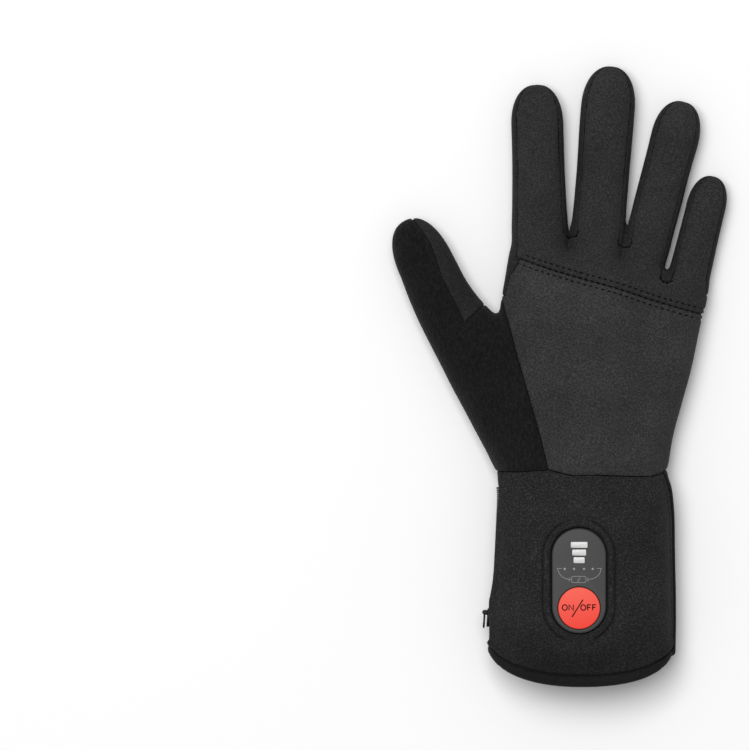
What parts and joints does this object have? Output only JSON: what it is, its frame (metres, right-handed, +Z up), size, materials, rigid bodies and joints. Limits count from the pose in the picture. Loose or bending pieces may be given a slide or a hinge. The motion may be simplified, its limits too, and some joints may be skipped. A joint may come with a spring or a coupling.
{
  "type": "heated glove",
  "caption": "Right-hand heated glove in padded cloth, with grip palm, touch-screen fingertips, zip and strap cuff, and a push-button heat controller on the back of the cuff.",
  "frame": {"origin": "middle of the footprint, on the surface that the glove lies on", "axes": "+X from the thumb to the little finger, +Y from the cuff to the fingertips, +Z up out of the back of the hand"},
  "size_m": [0.1614, 0.298, 0.0435],
  "materials": {
    "finger_cloth": "charcoal knitted face on neoprene",
    "back_cloth": "charcoal brushed knitted face on neoprene",
    "side_cloth": "black stretch knit",
    "grip_cloth": "black knit with raised silicone grip lines",
    "touch_cloth": "grey-brown conductive knit",
    "fleece": "black short-pile fleece",
    "cuff_cloth": "black neoprene with a knitted face",
    "binding": "black folded stretch binding",
    "gusset": "black woven tape and gusset",
    "zip_plastic": "black moulded teeth",
    "zip_metal": "black enamelled zip slider",
    "housing": "dark grey satin plastic",
    "red_button": "red-orange satin silicone",
    "light_window": "silver-white lens"
  },
  "bodies": {
    "glove": {"finger_backs": "finger_cloth", "hand_back": "back_cloth", "side_walls": "side_cloth", "palm_panel": "grip_cloth", "index_touch_pad": "touch_cloth", "thumb_back": "fleece", "thumb_side": "side_cloth", "thumb_front": "grip_cloth", "thumb_touch_pad": "touch_cloth", "cuff_back": "cuff_cloth", "cuff_palm": "cuff_cloth", "cuff_back_binding": "binding", "cuff_palm_binding": "binding", "cuff_gusset": "gusset", "zip_tape": "gusset", "zip_teeth": "zip_plastic", "window_welt": "cuff_cloth", "wrist_strap": "cuff_cloth", "strap_binding": "binding", "controller_housing": "housing", "level_bar_1": "light_window", "level_bar_2": "light_window", "level_bar_3": "light_window", "zip_slider": "zip_metal"},
    "button": {"power_button": "red_button"},
    "puller": {"zip_puller": "zip_metal"}
  },
  "joints": [
    {"name": "power_press", "type": "slide", "parent": "glove", "child": "button", "axis": [0, 0, -1], "range_m": [0, 0.0007], "stiffness_N_per_m": 300, "springref_m": -0.001},
    {"name": "puller_swing", "type": "hinge", "parent": "glove", "child": "puller", "pos_m": [-0.03607, -0.11362, 0.0178], "axis": [0, 0, -1], "range_deg": [0, 150]}
  ]
}
